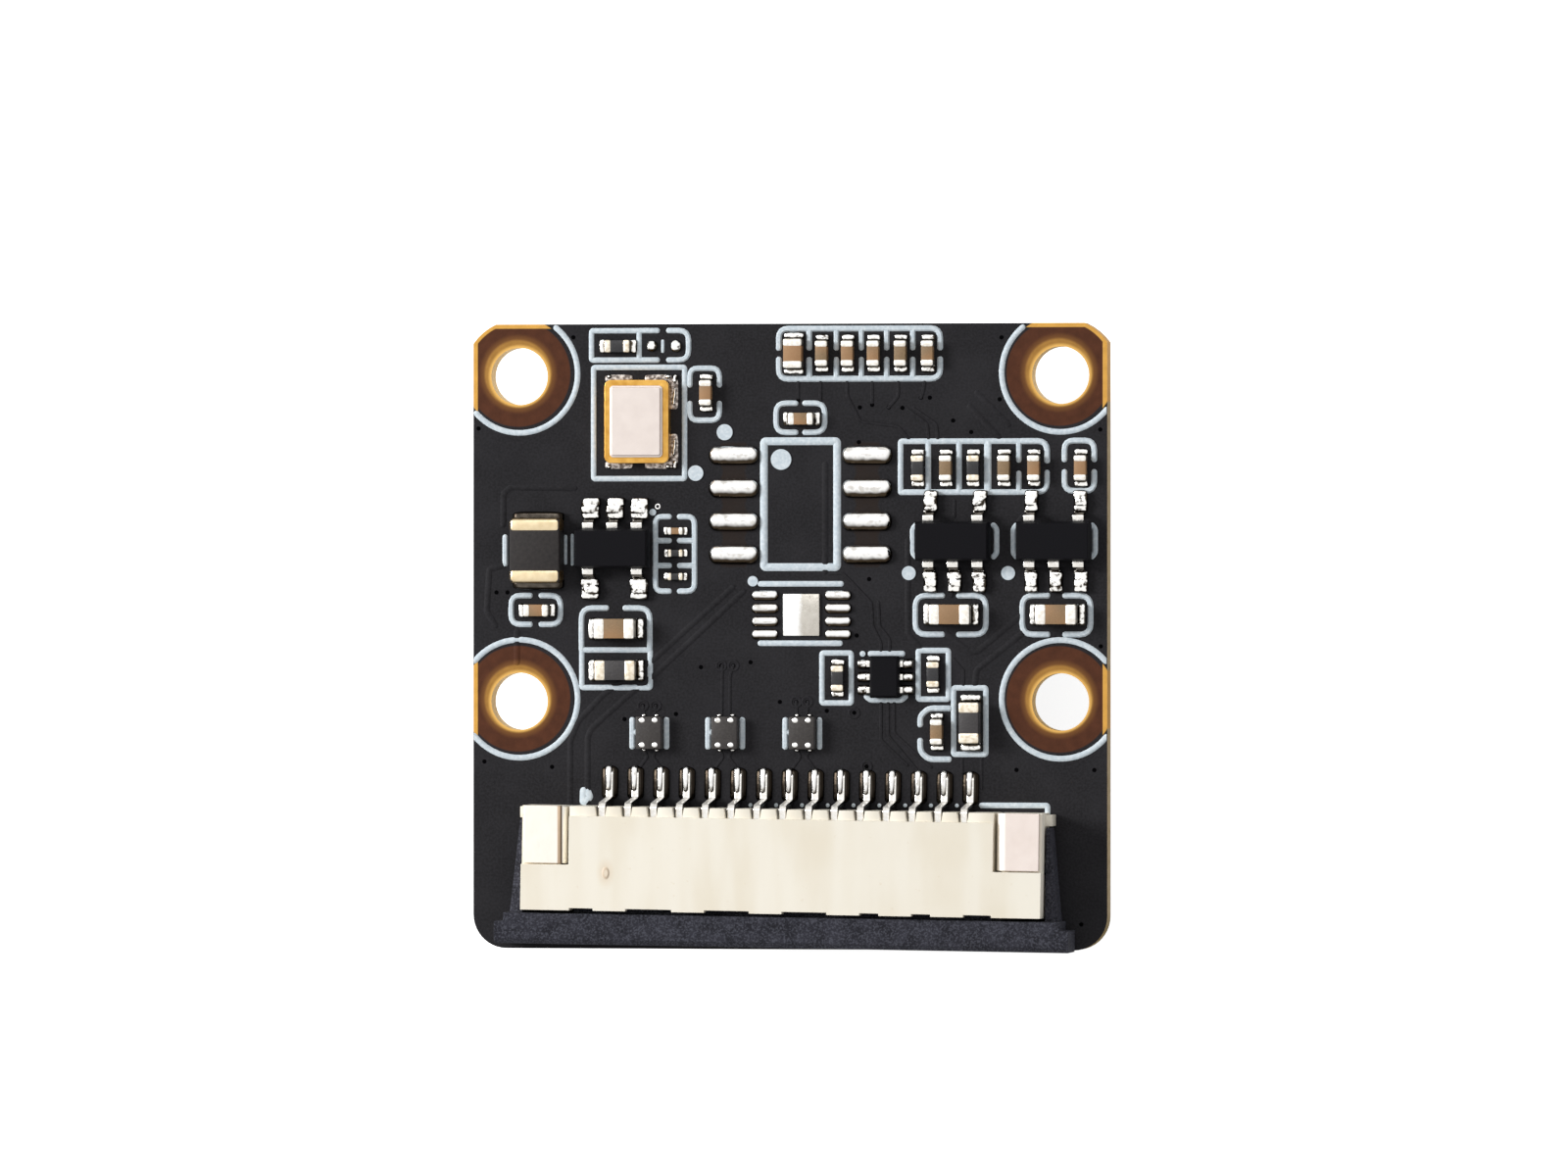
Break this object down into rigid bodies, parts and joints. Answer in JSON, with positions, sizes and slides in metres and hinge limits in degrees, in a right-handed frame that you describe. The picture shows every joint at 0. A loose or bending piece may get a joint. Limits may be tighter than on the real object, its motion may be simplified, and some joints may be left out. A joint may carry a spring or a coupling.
{
  "type": "camera module",
  "caption": "Small square camera board: ribbon connector with a slide latch and surface-mounted chips on the back, glued fixed-focus lens on the front.",
  "frame": {"origin": "on the optical axis, in the plane of the lens barrel's front rim, which is what the part rests on", "axes": "+Z from the lens rim towards the connector side, +X along the ribbon connector, +Y from the connector towards the far edge of the board"},
  "size_m": [0.0246, 0.0241, 0.0087],
  "materials": {
    "board": "black solder mask, semi-gloss, on amber laminate",
    "capacitor_ceramic": "brown fired ceramic with tinned ends",
    "resistor_black": "black glaze with tinned ends",
    "ferrite_black": "dark ferrite with tinned ends",
    "inductor_black": "dark ferrite with pale gold ends",
    "choke_grey": "grey ferrite with four tinned terminals",
    "moulded_black": "moulded epoxy, matt",
    "tinned_lead": "bright tin",
    "solder": "bright reflowed solder",
    "crystal_gold": "gold-plated rim on ceramic",
    "crystal_lid_metal": "satin nickel",
    "housing_cream": "moulded nylon, satin",
    "contact_metal": "bright tin",
    "bracket_metal": "satin tin",
    "latch_black": "glass-filled nylon, mottled matt",
    "sensor_silicon": "dark, semi-gloss",
    "cover_glass": "clear",
    "filter_glass": "clear, faintly green",
    "lens_glass": "coated, clear",
    "holder_black": "moulded, matt",
    "barrel_black": "moulded, matt",
    "ring_black": "matt",
    "glue": "cured adhesive, satin"
  },
  "bodies": {
    "module": {"circuit_board": "board", "image_sensor": "sensor_silicon", "sensor_cover_glass": "cover_glass", "lens_holder": "holder_black", "holder_glue": "glue", "infrared_filter": "filter_glass", "lens_barrel": "barrel_black", "front_lens": "lens_glass", "lens_spacer": "ring_black", "rear_lens": "lens_glass", "lens_retainer": "ring_black", "crystal_base": "crystal_gold", "crystal_lid": "crystal_lid_metal", "power_inductor": "inductor_black", "regulator_1_body": "moulded_black", "regulator_1_leads": "tinned_lead", "regulator_2_body": "moulded_black", "regulator_2_leads": "tinned_lead", "regulator_3_body": "moulded_black", "regulator_3_leads": "tinned_lead", "switch_chip_body": "moulded_black", "switch_chip_leads": "tinned_lead", "line_choke_1": "choke_grey", "line_choke_2": "choke_grey", "line_choke_3": "choke_grey", "capacitor_1": "capacitor_ceramic", "capacitor_2": "capacitor_ceramic", "capacitor_3": "capacitor_ceramic", "capacitor_4": "capacitor_ceramic", "capacitor_5": "capacitor_ceramic", "capacitor_6": "capacitor_ceramic", "capacitor_7": "capacitor_ceramic", "capacitor_8": "capacitor_ceramic", "capacitor_9": "capacitor_ceramic", "capacitor_10": "capacitor_ceramic", "capacitor_11": "capacitor_ceramic", "capacitor_12": "capacitor_ceramic", "capacitor_13": "capacitor_ceramic", "capacitor_14": "capacitor_ceramic", "capacitor_15": "capacitor_ceramic", "capacitor_16": "capacitor_ceramic", "capacitor_17": "capacitor_ceramic", "capacitor_18": "capacitor_ceramic", "resistor_1": "resistor_black", "resistor_2": "resistor_black", "resistor_3": "resistor_black", "resistor_4": "resistor_black", "resistor_5": "resistor_black", "resistor_6": "resistor_black", "resistor_7": "resistor_black", "ferrite_bead_1": "ferrite_black", "ferrite_bead_2": "ferrite_black", "connector_housing": "housing_cream", "connector_contacts": "contact_metal", "hold_downs": "bracket_metal", "spare_memory_solder": "solder", "spare_key_chip_solder": "solder", "solder_joints": "solder"},
    "latch": {"latch_slider": "latch_black"}
  },
  "joints": [
    {"name": "latch_slide", "type": "slide", "parent": "module", "child": "latch", "axis": [-0.014, -0.9999, 0], "range_m": [0, 0.0013]}
  ]
}
